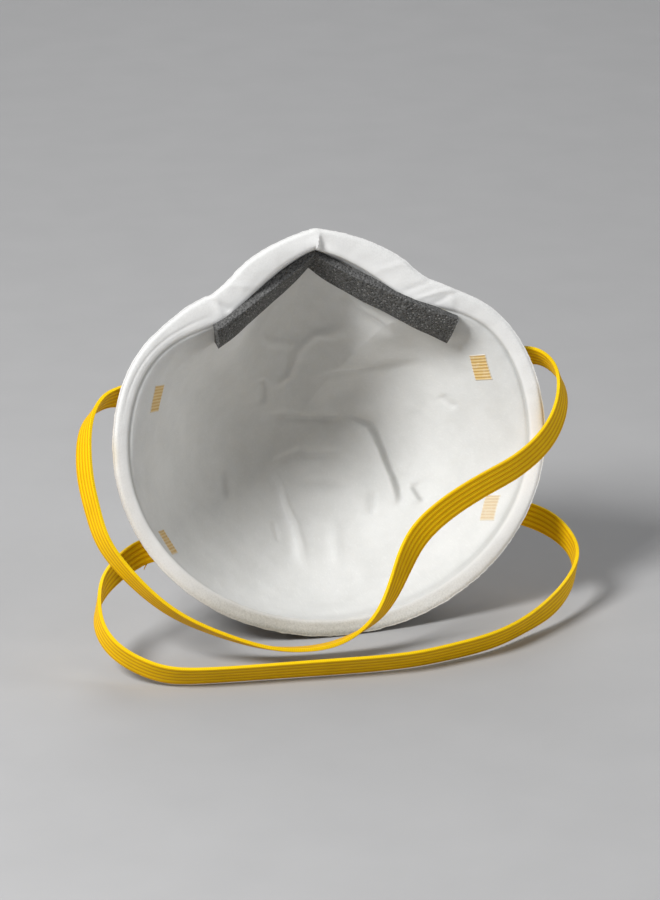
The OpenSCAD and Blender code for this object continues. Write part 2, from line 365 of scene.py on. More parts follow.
class Look(Graph):
    """A procedural material on a Principled surface."""

    def __init__(self, name):
        self.material = bpy.data.materials.new(name)
        self.material.use_nodes = True
        super().__init__(self.material.node_tree)
        self.place = self.add("ShaderNodeTexCoord").outputs["Object"]

    def mix(self, factor, a, b, blend="MIX"):
        n = self.add("ShaderNodeMix", data_type="RGBA", blend_type=blend)
        self.plug(factor, n.inputs["Factor"])
        self.plug(a, n.inputs["A"])
        self.plug(b, n.inputs["B"])
        return n.outputs["Result"]

    def tint(self, factor, base, colour):
        return self.mix(factor, base, colour, "MULTIPLY")

    def ramp(self, source, *stops):
        """Colours along a source; a plain number is a grey."""
        n = self.nodes.new("ShaderNodeValToRGB")
        elements = n.color_ramp.elements
        while len(elements) < len(stops):
            elements.new(0.5)
        for element, (position, colour) in zip(elements, stops):
            element.position = position
            element.color = (*colour, 1) if isinstance(colour, tuple) else (colour, colour, colour, 1)
        self.links.new(source, n.inputs["Fac"])
        return n.outputs["Color"]

    def noise(self, scale, detail, roughness=0.5, distortion=0.0, at=None):
        n = self.add("ShaderNodeTexNoise", Scale=scale, Detail=detail, Roughness=roughness,
                     Distortion=distortion)
        self.links.new(self.place if at is None else at, n.inputs["Vector"])
        return n.outputs["Fac"]

    def cells(self, scale):
        n = self.add("ShaderNodeTexVoronoi", Scale=scale, Randomness=1.0)
        self.links.new(self.place, n.inputs["Vector"])
        return n.outputs["Distance"]

    def stretched(self, scale, rotation=(0, 0, 0)):
        n = self.add("ShaderNodeMapping")
        n.inputs["Rotation"].default_value = rotation
        n.inputs["Scale"].default_value = scale
        self.links.new(self.place, n.inputs["Vector"])
        return n.outputs["Vector"]

    def values(self, name):
        return self.add("ShaderNodeAttribute", attribute_name=name).outputs["Fac"]

    def band(self):
        """The band's coordinates in mm: u along it and v across it."""
        n = self.add("ShaderNodeSeparateXYZ")
        self.links.new(self.add("ShaderNodeUVMap", uv_map="band").outputs["UV"], n.inputs["Vector"])
        return n.outputs["X"], n.outputs["Y"]

    def wave(self, source, period, phase=0.0):
        """From 0 to 1 and back once a period."""
        angle = self.plus(self.times(source, 2 * math.pi / period), phase)
        return self.plus(self.times(self.math("SINE", angle), 0.5), 0.5)

    def finish(self, height=None, strength=0.0, distance=0.0, **surface):
        """Set the surface's inputs, named with _ for each space, and its bump, if a height is given."""
        inputs = self.nodes["Principled BSDF"].inputs
        for name, value in surface.items():
            self.plug(value, inputs[name.replace("_", " ")])
        if height is not None:
            bump = self.add("ShaderNodeBump", Strength=strength, Distance=distance)
            self.links.new(height, bump.inputs["Height"])
            self.links.new(bump.outputs["Normal"], inputs["Normal"])
        return self.material


def fibre_field(look):
    """Fine crossing fibres: thin lines of stretched noise in three directions."""
    scale, slack, tilt = 900.0, 0.09, 0.3
    total = None
    for k, turn in enumerate((0.4, 1.5, 2.6)):
        drawn = look.stretched((scale, scale * slack, scale), (0.7 * k + tilt, turn, turn * 1.7 + tilt))
        threads = look.noise(1.0, 3.0, 0.6, 0.6, at=drawn)
        line = look.times(look.math("ABSOLUTE", look.math("SUBTRACT", threads, 0.5)), 3.2)
        total = line if total is None else look.math("MINIMUM", total, line)
    return total


def nonwoven(name, tone, shade):
    """A matted fibre web: crossing fibres, cloudy density and a soft sheen."""
    look = Look(name)
    fibres = fibre_field(look)
    cloud = look.noise(90.0, 6.0, 0.65)
    blotch = look.noise(28.0, 3.0, 0.55)
    base = look.ramp(cloud, (0.3, shade), (0.62, tone))
    base = look.mix(0.35, base, look.ramp(blotch, (0.35, shade), (0.65, tone)))
    base = look.tint(0.5, base, look.ramp(fibres, (0.0, 0.90), (0.35, 1)))
    # the pressed and cut edge is denser, duller and a little warmer
    edge = look.values("towards_edge")
    worn = look.ramp(edge, (0.1, 1), (0.6, (0.74, 0.725, 0.68)), (1.0, (0.52, 0.505, 0.45)))
    base = look.tint(1.0, base, worn)
    base = look.mix(look.times(look.values("doubled"), 0.8), base, (0.88, 0.88, 0.872))
    # painted shade: the web is darkened in the hollow creases and at the foot of the rolled flange
    base = look.mix(look.values("shade"), base, look.tint(1.0, base, (0.66, 0.66, 0.65)))
    base = look.mix(look.times(look.values("tan"), 0.6), base, (0.66, 0.56, 0.36))
    fluff = look.noise(1900.0, 3.0, 0.7)
    fluff = look.ramp(fluff, (0.3, (0.72, 0.71, 0.69)), (0.5, 1), (0.7, (1.2, 1.2, 1.19)))
    base = look.mix(edge, base, look.tint(1.0, base, fluff))
    return look.finish(look.plus(fibres, look.times(cloud, 1.4)), 0.25, 0.00025,
                       Base_Color=base, Roughness=look.ramp(fibres, (0.0, 0.95), (0.4, 0.78)),
                       Specular_IOR_Level=0.25, Sheen_Weight=0.25, Sheen_Roughness=0.5)


def foam_material():
    """Dark grey open-cell foam, with painted glints on the cells and paler cut sides, partly painted light.
    """
    look = Look("grey_foam")
    small, big = look.cells(1700.0), look.cells(950.0)
    base = look.ramp(small, (0.1, (0.016, 0.016, 0.015)), (0.62, (0.115, 0.115, 0.112)))
    # painted glints: pale spots added round the middles of the larger cells
    base = look.mix(0.8, base, look.ramp(big, (0.0, (0.42, 0.42, 0.41)), (0.3, 0)), "ADD")
    base = look.tint(0.5, base, look.ramp(look.noise(220.0, 4.0), (0.3, 0.6), (0.7, 1)))
    # the cut sides are painted paler: partly the open cells of the cut, partly painted light
    cut = look.times(look.values("cut_side"), 0.6)
    base = look.mix(cut, base, look.ramp(small, (0.1, 0.03), (0.6, 0.14)))
    return look.finish(look.plus(small, big), 0.8, 0.0004, Base_Color=base, Roughness=0.82)


def elastic_material():
    """Yellow knitted elastic: cords run along the band, fine wales cross them, and the cords are striped with
    painted shade and highlight.
    """
    look = Look("yellow_elastic")
    u, v = look.band()
    cord = BAND_W / CORDS
    across = look.wave(v, cord, -math.pi / 2)
    yarn = look.wave(look.plus(u, look.times(v, 0.8)), 0.62)
    weave = look.plus(look.times(yarn, 0.5), look.times(look.wave(v, cord / 3), 0.5))
    # painted shade and highlight: across each cord the colour runs from dark orange to pale yellow
    base = look.ramp(across, (0.0, (0.72, 0.34, 0.001)), (0.3, (0.90, 0.50, 0.002)),
                     (0.8, (0.95, 0.56, 0.003)), (1.0, (0.98, 0.64, 0.008)))
    base = look.tint(0.5, base, look.ramp(weave, (0.1, 0.72), (0.6, 1)))
    base = look.tint(0.5, base, look.ramp(look.noise(160.0, 4.0), (0.3, 0.85), (0.7, 1)))
    return look.finish(weave, 0.35, 0.00012, Base_Color=base, Roughness=0.55,
                       Specular_IOR_Level=0.18, Specular_Tint=(1.0, 0.85, 0.3))


WELD_BAR = 1.0


def weld_material():
    """Webs fused to a clear film with the yellow cords showing through as fine bars."""
    look = Look("fused_web")
    bars = look.wave(look.band()[1], WELD_BAR)
    cloud = look.noise(500.0, 5.0, 0.7)
    base = look.ramp(bars, (0.1, (0.60, 0.36, 0.09)), (0.9, (0.72, 0.54, 0.25)))
    base = look.mix(look.ramp(cloud, (0.5, 0), (0.8, 0.5)), base, (0.80, 0.74, 0.60))
    base = look.mix(look.values("fused"), (0.72, 0.72, 0.69), base)
    return look.finish(look.plus(bars, cloud), 0.4, 0.0002, Base_Color=base, Roughness=0.45)


def metal_material():
    """Soft rolled aluminium: fine lengthwise drag lines, dull patches and a few nicks."""
    look = Look("clip_metal")
    drag = look.noise(1.0, 4.0, 0.7, at=look.stretched((60, 1500, 1500)))
    dull = look.ramp(look.noise(130.0, 5.0), (0.35, (0.60, 0.61, 0.62)), (0.65, (0.80, 0.81, 0.82)))
    return look.finish(drag, 0.12, 0.0001, Base_Color=dull, Metallic=1.0,
                       Roughness=look.ramp(drag, (0.3, 0.28), (0.7, 0.5)))


def glue_material():
    """Cloudy dried adhesive."""
    look = Look("adhesive")
    cloud = look.noise(300.0, 5.0)
    base = look.ramp(cloud, (0.3, (0.50, 0.46, 0.36)), (0.7, (0.66, 0.63, 0.54)))
    rough = look.ramp(cloud, (0.3, 0.3), (0.7, 0.6))
    return look.finish(cloud, 0.3, 0.0001, Base_Color=base, Roughness=rough)


MATS = {
    "inner_web": nonwoven("inner_web", (0.745, 0.752, 0.745), (0.655, 0.662, 0.652)),
    "moulded_fibre": nonwoven("moulded_fibre", (0.74, 0.73, 0.71), (0.62, 0.61, 0.59)),
    "filter_fibre": nonwoven("filter_fibre", (0.84, 0.85, 0.86), (0.74, 0.75, 0.76)),
    "outer_web": nonwoven("outer_web", (0.83, 0.825, 0.81), (0.73, 0.725, 0.71)),
    "grey_foam": foam_material(),
    "adhesive": glue_material(),
    "clip_metal": metal_material(),
    "fused_web": weld_material(),
    "yellow_elastic": elastic_material(),
}
SLOT_OF = {part["node"]: part["material_slot"] for part in record["subparts"]}


def stand_for(obj, node_name):
    """Show obj in place of a CAD node, with the finish that the record gives the node."""
    slot = SLOT_OF[node_name]
    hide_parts(node_name)
    obj.data.materials.clear()
    obj.data.materials.append(MATS[slot])


# ---------------------------------------------------------------- webs
# Short creases across the flange beside the nose panel: degrees from the nose peak, height, slope
WRINKLES = [(36.0, 0.22, 9.0), (42.5, -0.2, 4.0), (49.0, 0.18, -5.0), (31.0, -0.2, 7.0), (-33.5, -0.4, -4.0),
            (-38.0, 0.25, 3.0), (-22.0, 0.16, -9.0), (19.0, 0.12, 10.0), (95.0, 0.2, 2.0)]
WRINKLE_WIDTH = 1.3
# How deep the flange's plateau and its crown are: a plain depth, more over the nose, less round the chin
PLATEAU, CROWN = (0.42, 0.1, 0.22), (0.25, 0.12, 0.15)
# Where the straps lie behind the flange and have stained it: x, z, half-length along z
TAN_SPOTS = [(65.8, 2.0, 7.0), (-66.6, 3.0, 4.5)]
TAN_WIDTH = 1.5


def wrinkles(a, s):
    """Depth added by the short creases across the flange."""
    n = from_peak(a)
    out = sum(-height * bell(n - at - slope * (s - 1), WRINKLE_WIDTH) for at, height, slope in WRINKLES)
    return out * ease(s, 0.98, 1.25) * (1 - 0.5 * ease(s, 1.6, 2.0))


def flange_shape(a, s, t):
    """Depth added in the flange: a soft roll, puffed up over the nose, a faint line and a pinched edge."""
    n = np.abs(from_peak(a))
    nose = 1 - ease(n, 28, 52)
    chin = ease(n, 120, 150)
    wide = rim_r(a) - seam_r(a)
    w = from_seam(a, s)
    plateau = ease(w, -0.7, 0.9) * (1 - ease(w, wide - 1.3, wide + 0.2))
    crown = np.clip(1 - ((w - 0.5 * wide) / (0.5 * wide)) ** 2, 0, 1)

    def depth(plain, more, less):
        return plain + more * nose - less * chin

    roll = -depth(*PLATEAU) * plateau - depth(*CROWN) * crown
    foot = 0.22 * bell(w + 0.4, 0.4) * (1 - nose)
    upper_left = np.where(np.sin(a) < 0, ease(n, 38, 46) * (1 - ease(n, 66, 84)), 0)
    line = 0.14 * bell(w - 2.5, 0.4) * upper_left
    pinch = 0.22 * np.clip((w - wide + 0.8) / 0.8, 0, 1) ** 2 * (1 if t == 0 else -1)
    return np.where(s > 0.9, roll + foot + line + pinch + wrinkles(a, s), 0)


def outline_shift(a, s):
    """Radial shift in the flange: creased corners beside the nose panel, and the lip over the foam."""
    n = from_peak(a)
    m = np.abs(n)
    left = 2.1 * bell(m - 42.5, 8) * ease(m, 34.5, 37.5) - 1.6 * bell(m - 29.5, 6)
    right = -1.5 * bell(m - 33, 4.5)
    lip = -np.where(n < 0, 0.2, 0.8) * bell(from_seam(a, s) - 0.5, 0.95) * (1 - ease(m, 26, 44))
    return np.where(s > 0.9, np.where(n < 0, left, right) * np.clip(s - 1, 0, 1) + lip, 0)


def nose_fold(x, a, s):
    """How far the flange comes towards the wearer where its left half laps over the right half."""
    out = np.clip(s - 1, 0, 1)
    x = x - 0.2 - 1.6 * out
    near_foam = ease(s, 0.86, 0.98) * (1 - ease(out, 0.1, 0.85)) * np.where(np.cos(a) > 0, 1, 0)
    lap = np.where(x < 0, np.exp(-np.abs(x) / 7.0), np.exp(-x / 0.3))
    tuck = np.where(x > 0, bell(x - 1.2, 2.6), 0)
    return near_foam * (1.2 * lap - 0.7 * tuck)


def web_points(a, s, t):
    """Points of a web's surface t behind the wearer's side; the webs are pressed together in the flange."""
    press = 1 - 0.5 * np.clip((s - 0.95) / 0.05, 0, 1)
    push = -unevenness(a, s) + flange_shape(a, s, t)
    ideal = face(a, s)
    p = ideal + face_n(a, s) * (t * press + push)[..., None]
    p[..., 1] -= nose_fold(p[..., 0], a, s)
    frayed = 0.22 * noise3(ideal, 0.9, 5) * (1 + ease(-np.cos(a), 0.2, 0.9))
    frayed += 0.15 * noise3(ideal, 3.1, 6)
    shift = np.clip((s - 1.8) / 0.2, 0, 1) * frayed + outline_shift(a, s)
    p[..., [0, 2]] *= (1 + shift / np.maximum(s, 0.5) / seam_r(a))[..., None]
    return p


def web(name, n_spokes, n_wall, n_flange):
    """A closed sheet of rings and spokes, with a point in the middle of each side."""
    # spokes crowd towards the nose, where the web is folded, and rings towards the seam
    spokes = np.linspace(0, 2 * np.pi, n_spokes, endpoint=False)
    spokes = spokes - 0.5 * np.sin(spokes)
    wall = 1 - (1 - np.linspace(0.012, 1, n_wall)) ** 1.15
    rings = np.concatenate([wall[:-1], np.linspace(1, 2, n_flange)])
    a, s = np.meshgrid(spokes, rings)
    middle = np.array([[0.0]])
    side_size = len(rings) * n_spokes + 1
    verts, faces = [], []
    for k, t in enumerate(LAYERS[name]):
        verts += [to_row(web_points(a, s, t).reshape(-1, 3)),
                  to_row(web_points(middle, middle + 1e-4, t).reshape(-1, 3))]
        base = k * side_size
        faces += grid_faces(len(rings), n_spokes, True, base, flip=(k == 1))
        for i in range(n_spokes):
            tri = (base + side_size - 1, base + i, base + (i + 1) % n_spokes)
            faces.append(tri if k == 0 else tri[::-1])
    edge = (len(rings) - 1) * n_spokes
    for i in range(n_spokes):
        j = (i + 1) % n_spokes
        faces.append((edge + i, side_size + edge + i, side_size + edge + j, edge + j))
    obj = make_object(name + "_cloth", np.vstack(verts), faces, crease=50)
    for value_name, values in web_values(a, s).items():
        add_values(obj, value_name, np.tile(np.append(values.ravel(), 0.0), 2))
    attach(obj, "cup")
    stand_for(obj, name)


def web_values(a, s):
    """What the web's material reads: how worn, stained and doubled it is at each point, and how much shade is
    painted on it.
    """
    p = face(a, s)
    n = np.abs(from_peak(a))
    # strongest round the chin, where the whole flange is pressed thin and its cut edge is fluffed up
    under = ease(-np.cos(a), 0.35, 0.95) * (1 - 0.35 * ease(np.sin(a), 0.0, 0.5))
    chin = under * (0.6 * ease(s, 0.99, 1.35) + 0.4 * ease(s, 1.5, 2.0))
    worn = np.maximum(0.3 * np.clip(s - 1, 0, 1), chin)
    # painted shade in the hollow creases and at the foot of the rolled flange
    foot = bell(from_seam(a, s) + 0.15, 0.5) * ease(n, 44, 60) * (1 - 0.6 * ease(n, 120, 150))
    shade = np.maximum(np.where(s < 0.97, crease_shade(p[..., 0], p[..., 2]), 0), 0.75 * foot)
    tan = sum(bell(p[..., 0] - x, TAN_WIDTH) * bell(p[..., 2] - z, r) for x, z, r in TAN_SPOTS)
    # the folded flange lets less light through, so it looks whiter than the wall
    return {"towards_edge": worn, "shade": shade, "tan": tan, "doubled": ease(s, 0.98, 1.06) * (1 - under)}


COARSER = 1
web("inner_cover_web", 720 // COARSER, 150 // COARSER, 20)
web("moulded_shell", 240 // COARSER, 60 // COARSER, 6)
web("filter_web", 240 // COARSER, 60 // COARSER, 6)
web("outer_cover_web", 600 // COARSER, 110 // COARSER, 16)


# ---------------------------------------------------------------- nose foam and clip
FOAM_SHIFT, FOAM_RISE = 4.5, 1.8
# an arm's length over its run, and its direction over the opening, about
ARM_STRETCH, ARM_WAY = 1.16, (0.85, -0.5)


def arm_point(u, rise=0.0):
    """A place over the opening: u is 0 at the nose peak, and -1 and 1 at the arms' ends."""
    return ARM_RUN * u, ARM_Z - (ARM_FALL - rise) * np.abs(u)


def strip_frames(n, reach, shift, rise):
    """Stations along both arms: share of the arm, place over the opening and direction across the strip."""
    out = []
    for u in np.linspace(-1, 1, 2 * n + 1):
        at_fold = abs(u) < 1e-9
        w = 0.01 if at_fold else u
        r = reach + np.sign(u) * shift / ARM_RUN
        x, z = arm_point(w * r, rise)
        run = over(x, z, 0.0) - over(*arm_point(w * 0.99 * r, rise), 0.0)
        across = unit(np.cross(-run if w < 0 else run, wall_n(*polar(x, z))))
        if at_fold:
            # the fold's line halves the angle between the arms, so both reach it
            middle = unit(across * (0, 1, 1))
            across = middle / (middle @ across)
            x, z = arm_point(0.0)
        out.append((u, x, z, across))
    return out


def strip_mesh(name, width, from_t, to_t, reach, n, lanes, crown=0.0, round_end=0.0, soft=0.0, fold=0.0,
               shift=0.0, rise=0.0, slant=0.0, stiff=0):
    """A strip laid on the face over the nose. t grows away from the wearer; the shown side is to_t."""
    outwards = np.sign(to_t - from_t)
    v = np.linspace(-0.5, 0.5, lanes)
    rows = []
    for u, x, z, across in strip_frames(n, reach, shift, rise):
        w = width
        if round_end:
            # over its last half width the strip narrows along a circle
            left_over = min((1 - abs(u)) * ARM_RUN * reach * ARM_STRETCH / (width / 2), 1.0)
            w = width * (1 - round_end * (1 - math.sqrt(max(0.0, 1 - (1 - left_over) ** 2))))
        row = []
        for vs, t, shown in ((v, from_t, False), (v[::-1], to_t, True)):
            dent = 1 - fold * bell(u * ARM_RUN, 0.7) if shown else 1
            # a slanting cut: the lower corner of each end reaches further than the upper one
            lean = -slant * vs * w * ease(abs(u), 0.75, 1.0) * np.sign(across[2])
            px = x + across[0] * vs * w + np.sign(u) * lean * ARM_WAY[0]
            pz = z + across[2] * vs * w + lean * ARM_WAY[1]
            p = over(px, pz, np.full(lanes, t * dent))
            if shown:
                p = p - wall_n(*polar(px, pz)) * (outwards * crown * (2 * np.abs(vs)) ** 4)[:, None]
            row.append(p)
        rows.append(np.vstack(row))
    rows = np.array(rows)
    if stiff:
        # a thick strip bridges small hollows: each arm is evened out along its length
        rows = np.concatenate([soften(rows[:n + 1], stiff), soften(rows[n:], stiff)[1:]])
    m = rows.shape[1]
    verts = rows.reshape(-1, 3)
    if soft:
        verts = verts + soft * np.stack([noise3(verts, 5.0, seed) for seed in (11, 12, 13)], -1)
    faces = grid_faces(len(rows), m, True, flip=outwards > 0)
    faces += end_faces(0, m, m // 2, flip=outwards < 0)
    faces += end_faces(len(rows) - 1, m, m // 2, flip=outwards > 0)
    obj = make_object(name, to_row(verts), faces)
    skin = ease(np.abs(v[::-1]) * width, width / 2 - 0.5, width / 2)
    add_values(obj, "cut_side", np.tile(np.concatenate([np.ones(lanes), skin]), len(rows)))
    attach(obj, "cup")
    return obj


def round_edges(obj, radius):
    """Round off the sharp edges."""
    bevel = obj.modifiers.new("soft_edges", "BEVEL")
    bevel.width, bevel.segments = radius * MM, 3
    bevel.limit_method, bevel.angle_limit = "ANGLE", math.radians(50)


foam = strip_mesh("nose_foam_strip", 9.5, -0.2, -3.2, 1.0, 90, 25, crown=0.2, soft=0.15, fold=0.4,
                  shift=FOAM_SHIFT, rise=FOAM_RISE, slant=0.3, stiff=500)
stand_for(foam, "nose_foam")
round_edges(foam, 0.35)

film = strip_mesh("foam_adhesive_film", 7.8, 0.1, -0.1, 0.93, 40, 9, shift=FOAM_SHIFT, rise=FOAM_RISE)
stand_for(film, "foam_adhesive")

clip = strip_mesh("nose_clip_strip", 5.0, OUTER + 0.22, OUTER + 1.1, 0.95, 70, 11, crown=0.12, round_end=0.7)
stand_for(clip, "nose_clip")
round_edges(clip, 0.22)

glue = strip_mesh("clip_adhesive_line", 4.0, OUTER - 0.1, OUTER + 0.25, 0.9, 40, 9)
stand_for(glue, "clip_adhesive")


# ---------------------------------------------------------------- welds
SOFT_EDGE = 0.3
# one of the four welds is coloured paler than the others, closer to the plain web
PALE_WELD, PALE_SHARE = "lower_right_weld", 0.6


def weld_axes(side, z):
    """Along the band and across it, in the wall at a weld."""
    n = wall_n(*polar(side * WELD_X, z))
    u = unit(np.cross([0, 0, 1], n))
    return u, np.cross(n, u)


def on_weld(side, z, du, dv, t):
    """The point du along the band and dv across it from a weld's middle, t behind the wearer's side."""
    u, v = weld_axes(side, z)
    a, s = polar(side * WELD_X + u[0] * du + v[0] * dv, z + u[2] * du + v[2] * dv)
    return face(a, s) + wall_n(a, s) * (t - unevenness(a, s))[..., None]


def weld(name, side, z):
    """A rectangle where webs and band are fused, with fine pressed bars on both faces."""
    nu, nv = 29, 81
    half_l, half_h = WELD_L / 2 + SOFT_EDGE, WELD_H / 2 + SOFT_EDGE
    du, dv = np.meshgrid(np.linspace(-half_l, half_l, nu), np.linspace(-half_h, half_h, nv))
    edge = np.minimum(half_l - np.abs(du), half_h - np.abs(dv))
    dish = np.clip(edge / 0.35, 0, 1)
    bars = 0.035 * np.cos(2 * np.pi * dv / WELD_BAR)
    inner = on_weld(side, z, du, dv, 0.05 - dish * (0.2 + bars))
    outer = on_weld(side, z, du, dv, OUTER + 0.35 + dish * (0.25 + bars))
    n = nu * nv
    faces = grid_faces(nv, nu, False) + grid_faces(nv, nu, False, n, flip=True)
    index = np.arange(n).reshape(nv, nu)
    loop = [*index[0], *index[1:, -1], *index[-1, -2::-1], *index[-2:0:-1, 0]]
    faces += [(int(i), int(j), int(n + j), int(n + i)) for i, j in zip(loop, loop[1:] + loop[:1])]
    obj = make_object(name + "_patch", to_row(np.vstack([inner.reshape(-1, 3), outer.reshape(-1, 3)])), faces)
    add_uv(obj, np.tile(np.stack([du.ravel(), dv.ravel()], -1), (2, 1)))
    fused = ease(edge, 0.0, 2 * SOFT_EDGE) * (PALE_SHARE if name == PALE_WELD else 1.0)
    add_values(obj, "fused", np.tile(fused.ravel(), 2))
    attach(obj, "cup")
    stand_for(obj, name)


for level, z in WELD_Z.items():
    for side, word in ((-1, "left"), (1, "right")):
        weld(f"{level}_{word}_weld", side, z)


# ---------------------------------------------------------------- straps
STATION = 0.55
# distances from a strap's cut end: where the pressed end starts and stops opening out, and where the band
# starts and stops bending into the free loop
PRESSED, OPEN, BEND_FROM, BEND_TO = 6.5, 10.0, 9.0, 23.0
# how far behind the wearer's side of the cup the welded end's middle lies
END_T = OUTER + 0.42
# the yarns that have come loose
YARN_COUNT, YARN_STEPS, YARN_CORNERS = 4, 9, 6


def cad_points(obj):
    """A CAD node's own points in mm, its triangles over them, and each point's neighbours."""
    co = np.array([v.co for v in obj.data.vertices], float) / MM
    _, first, back = np.unique(np.round(co, 3), axis=0, return_index=True, return_inverse=True)
    back = back.ravel()
    pts = co[first]
    tris = [[int(back[i]) for i in poly.vertices] for poly in obj.data.polygons]
    link = [set() for _ in pts]
    for ids in tris:
        for i, j in zip(ids, ids[1:] + ids[:1]):
            if i != j:
                link[i].add(j)
                link[j].add(i)
    return pts, tris, link


def cad_rings(obj, end_near):
    """Middles and directions across of the CAD band's sections, from the end nearest to a point."""
    pts, tris, link = cad_points(obj)
    corner = int(np.argmin(np.linalg.norm(pts - end_near, axis=1)))
    # the band's end is the flat face at that corner that holds the most points
    end = []
    for ids in tris:
        if corner in ids and len(set(ids)) == 3:
            p = pts[ids]
            n = unit(np.cross(p[1] - p[0], p[2] - p[0]))
            flat = np.where(np.abs((pts - p[0]) @ n) < 0.01)[0]
            flat = [i for i in flat if np.linalg.norm(pts[i] - pts[corner]) < BAND_W * 1.3]
            end = flat if len(flat) > len(end) else end
    # from there, each section is the neighbours of the one before
    seen, rings = set(end), [set(end)]
    while rings[-1]:
        rings.append(set(j for i in rings[-1] for j in link[i]) - seen)
        seen |= rings[-1]
    mids, edges = [], []
    for ring in rings[:-1]:
        p = pts[sorted(ring)]
        across = np.linalg.svd(p - p.mean(0))[2][0]
        same_way = across @ edges[-1] if edges else across[2]
        mids.append(p.mean(0))
        edges.append(-across if same_way < 0 else across)
    return np.array(mids), np.array(edges)


def spline(points, u):
    """A smooth curve through the points, at u counted in points."""
    last = len(points) - 1
    i = np.clip(np.floor(u).astype(int), 0, last - 1)
    f = (u - i)[:, None]
    p0, p1, p2, p3 = points[np.maximum(i - 1, 0)], points[i], points[i + 1], points[np.minimum(i + 2, last)]
    return (p1 + (p2 - p0) * f / 2 + (2 * p0 - 5 * p1 + 4 * p2 - p3) * f ** 2 / 2
            + (3 * p1 - p0 - 3 * p2 + p3) * f ** 3 / 2)


def resample(mids, edges, step):
    """Even steps along a smooth curve through the middles, with the directions across and the distance."""
    u = np.linspace(0, len(mids) - 1, 40 * len(mids))
    along = np.concatenate([[0], np.cumsum(np.linalg.norm(np.diff(spline(mids, u), axis=0), axis=1))])
    want = np.linspace(0, along[-1], int(along[-1] / step) + 1)
    even = np.interp(want, along, u)
    return spline(mids, even), spline(edges, even), want


def welded_end(side, z):
    """Middles and directions across of the band's end, which carries on over its weld, flat on the cup."""
    along, across = weld_axes(side, z)
    # du counts from the band's cut end towards the free loop
    du = np.array([-5.6, -3.8, -1.9, 0.0, 1.9]) * (1 if along[0] * side > 0 else -1)
    mids = to_row(on_weld(side, z, du, np.zeros(len(du)), END_T)) / MM
    across = (to_row(across) - to_row(np.zeros(3))) / MM
    return mids, np.tile(across if across[2] > 0 else -across, (len(du), 1))


def strap_line(node_name, z):
    """Middles, the directions along, across and out of the band, and the distance along it."""
    start = to_row(on_weld(-1, z, 0.0, 0.0, OUTER + 0.6)) / MM
    mids, edges = cad_rings(frame["nodes"][node_name], start)
    (left, left_across), (right, right_across) = welded_end(-1, z), welded_end(1, z)
    mids = np.vstack([left, mids[2:-2], right[::-1]])
    edges = np.vstack([left_across, edges[2:-2], right_across[::-1]])
    mids, edges, d = resample(mids, edges, STATION)
    # the free loop is evened out more than the ends
    free = ease(np.minimum(d, d[-1] - d), 12, 30)[:, None]
    mids, edges = (soften(k, 12) * (1 - free) + soften(k, 90) * free for k in (mids, edges))
    along = unit(np.gradient(mids, axis=0))
    across = unit(edges - along * np.sum(edges * along, 1)[:, None])
    return mids, along, across, np.cross(along, across), d


def loose_yarns(mids, along, across, d, at, seed=5):
    """Yarns frayed from the band's lower edge: points, faces and the station each grows from."""
    draw = np.random.default_rng(seed)
    points, faces, stations = [], [], []
    turn = np.linspace(0, 2 * np.pi, YARN_CORNERS, endpoint=False)
    u = np.linspace(0, 1, YARN_STEPS)[:, None]
    thick = 0.26 - 0.14 * u
    for k in range(YARN_COUNT):
        j = int(np.argmin(np.abs(d - at - draw.uniform(-0.4, 0.4))))
        root = mids[j] - across[j] * (BAND_W / 2 - 0.3)
        head = along[j] - across[j] * draw.uniform(0.25, 0.6)
        curl = draw.normal(size=3) * 0.25
        path = root + draw.uniform(1.6, 2.6) * (head * u + curl * u ** 2)
        side = unit(np.cross(head, across[j] + along[j]))
        ring = side * np.cos(turn)[:, None] + unit(np.cross(head, side)) * np.sin(turn)[:, None]
        points.append((path[:, None] + ring[None] * thick[:, None]).reshape(-1, 3))
        base = k * YARN_STEPS * YARN_CORNERS
        tip = base + (YARN_STEPS - 1) * YARN_CORNERS
        faces += grid_faces(YARN_STEPS, YARN_CORNERS, True, base)
        faces += [tuple(range(base, base + YARN_CORNERS)), tuple(range(tip, tip + YARN_CORNERS))[::-1]]
        stations += [j] * YARN_STEPS * YARN_CORNERS
    return np.vstack(points), faces, np.array(stations)


def strap(name, node_name, z, frayed_at=None):
    """An elastic band: cords along it, its ends pressed flat and welded to the cup."""
    mids, along, across, out, d = strap_line(node_name, z)
    from_end = np.minimum(d, d[-1] - d)
    opened = ease(from_end, PRESSED, OPEN)
    lanes = 8 * CORDS + 1
    v = np.linspace(-0.5, 0.5, lanes)
    cord = 0.5 - 0.5 * np.cos(2 * np.pi * (v + 0.5) * CORDS)
    half = BAND_T / 2 * (0.84 + 0.16 * np.sqrt(cord)) * np.clip((0.5 - np.abs(v)) / 0.03 + 0.8, 0, 1)
    wide = BAND_W * (1.02 + 0.02 * np.sin(d / 9.0)) * (1 - 0.01 * opened)
    wales = 0.012 * np.sin(2 * np.pi * d / 1.25)[:, None]
    thick = (0.42 + 0.58 * opened)[:, None] * half + wales * cord
    flat = mids[:, None] + across[:, None] * (v * wide[:, None])[..., None]
    lift = out[:, None] * thick[..., None]
    ring = np.concatenate([flat + lift, (flat - lift)[:, ::-1]], 1)
    k, m = ring.shape[:2]
    verts = ring.reshape(-1, 3)
    faces = grid_faces(k, m, True) + end_faces(0, m, lanes, True) + end_faces(k - 1, m, lanes, False)
    uv = np.stack([np.repeat(d, m), np.tile(np.concatenate([v, v[::-1]]) * BAND_W, k)], -1)
    station = np.repeat(np.arange(k), m)
    if frayed_at:
        loose, loose_faces, grown_from = loose_yarns(mids, along, across, d, frayed_at)
        faces += [tuple(len(verts) + i for i in corners) for corners in loose_faces]
        verts = np.vstack([verts, loose])
        uv = np.vstack([uv, np.stack([d[grown_from], np.full(len(loose), 0.3)], -1)])
        station = np.concatenate([station, grown_from])
    obj = make_object(name, verts * MM, faces, crease=50)
    add_uv(obj, uv)
    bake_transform(obj)
    stand_for(obj, node_name)


